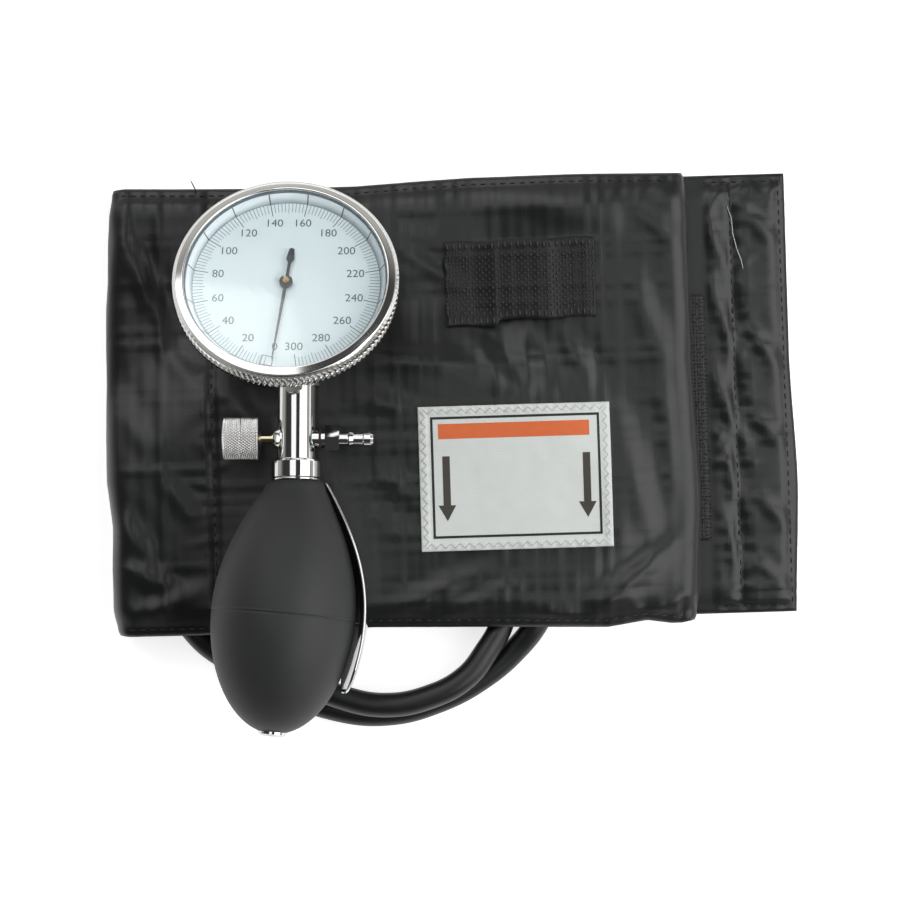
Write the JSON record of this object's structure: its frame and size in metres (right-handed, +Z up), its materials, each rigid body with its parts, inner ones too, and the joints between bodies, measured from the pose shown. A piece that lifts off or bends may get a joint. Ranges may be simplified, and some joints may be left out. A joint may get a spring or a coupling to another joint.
{
  "type": "aneroid sphygmomanometer",
  "caption": "Palm aneroid blood pressure gauge with rubber bulb, release valve and finger spoon, lying on a folded nylon arm cuff with its air tube.",
  "frame": {"origin": "on the table under the middle of the folded cuff", "axes": "+Z up from the table, +Y from the bulb to the gauge, +X to the open end of the cuff"},
  "size_m": [0.2279, 0.1824, 0.0627],
  "materials": {
    "nylon": "woven nylon, coated",
    "bladder_rubber": "matt",
    "port_rubber": "matt",
    "webbing": "coarse weave",
    "satin": "satin weave",
    "hooks": "hook side",
    "tube_rubber": "satin",
    "chrome": "polished",
    "knurled_chrome": "knurled",
    "bulb_rubber": "matt",
    "brass": "turned",
    "steel": "ground",
    "bronze": "rolled",
    "packing": "matt",
    "fibre": "matt",
    "glass": "clear",
    "dial_enamel": "printed",
    "hand_black": "satin"
  },
  "bodies": {
    "cuff": {"cuff": "nylon", "bladder": "bladder_rubber", "bladder_port": "port_rubber", "gauge_strap": "webbing", "label": "satin", "hook_patch": "hooks", "air_tube": "tube_rubber"},
    "palm_unit": {"handle": "chrome", "bulb_collar": "chrome", "bulb": "bulb_rubber", "intake_body": "chrome", "intake_screen": "brass", "outlet_seat": "brass", "ball_stop": "steel", "valve_bush": "brass", "valve_packing": "packing", "tube_connector": "chrome", "connector_washer": "fibre", "gauge_case": "chrome", "bezel": "knurled_chrome", "glass": "glass", "glass_gasket": "packing", "dial": "dial_enamel", "hairspring": "brass", "front_plate": "brass", "back_plate": "brass", "plate_pillars": "brass", "movement_posts": "brass", "capsule_upper": "bronze", "capsule_lower": "bronze", "capsule_stem": "brass", "capsule_button": "steel"},
    "hand": {"hand": "hand_black", "pinion_arbor": "brass"},
    "sector": {"sector_gear": "brass"},
    "rocker": {"rocker": "brass"},
    "stem": {"valve_stem": "brass"},
    "knob": {"valve_knob": "knurled_chrome"},
    "spoon": {"spoon": "chrome"},
    "intake_ball": {"intake_ball": "steel"},
    "outlet_ball": {"outlet_ball": "steel"}
  },
  "joints": [
    {"name": "unit_lift", "type": "slide", "parent": "cuff", "child": "palm_unit", "axis": [0, 0, 1], "range_m": [0, 0.15]},
    {"name": "hand_turn", "type": "hinge", "parent": "palm_unit", "child": "hand", "pos_m": [-0.053, 0.05421, 0.03402], "axis": [0, -0.4273, -0.9041], "range_deg": [0, 345]},
    {"name": "sector_swing", "type": "hinge", "parent": "palm_unit", "child": "sector", "pos_m": [-0.03693, 0.05555, 0.02808], "axis": [0, 0.4273, 0.9041], "range_deg": [0, 34.6]},
    {"name": "rocker_tilt", "type": "hinge", "parent": "palm_unit", "child": "rocker", "pos_m": [-0.053, 0.05256, 0.02352], "axis": [-1, 0, 0], "range_deg": [0, 25.8]},
    {"name": "valve_travel", "type": "slide", "parent": "palm_unit", "child": "stem", "axis": [-1, 0, 0], "range_m": [0, 0.00101]},
    {"name": "valve_turn", "type": "hinge", "parent": "stem", "child": "knob", "pos_m": [-0.0614, 0.00472, 0.03373], "axis": [-1, 0, 0], "range_deg": [0, 720]},
    {"name": "spoon_swivel", "type": "hinge", "parent": "palm_unit", "child": "spoon", "pos_m": [-0.0498, -0.009, 0.03524], "axis": [0, -0.994, 0.1097], "range_deg": [-10, 55]},
    {"name": "intake_lift", "type": "slide", "parent": "palm_unit", "child": "intake_ball", "axis": [0.0872, 0.9902, -0.1093], "range_m": [0, 0.0008]},
    {"name": "outlet_lift", "type": "slide", "parent": "palm_unit", "child": "outlet_ball", "axis": [0, 0.994, -0.1097], "range_m": [0, 0.0008]}
  ],
  "couplings": [
    {"joint": "sector_swing", "follows": "hand_turn", "ratio": 0.1},
    {"joint": "rocker_tilt", "follows": "hand_turn", "ratio": 0.074495},
    {"joint": "valve_travel", "follows": "valve_turn", "m_per_rad": 0.000079577}
  ]
}
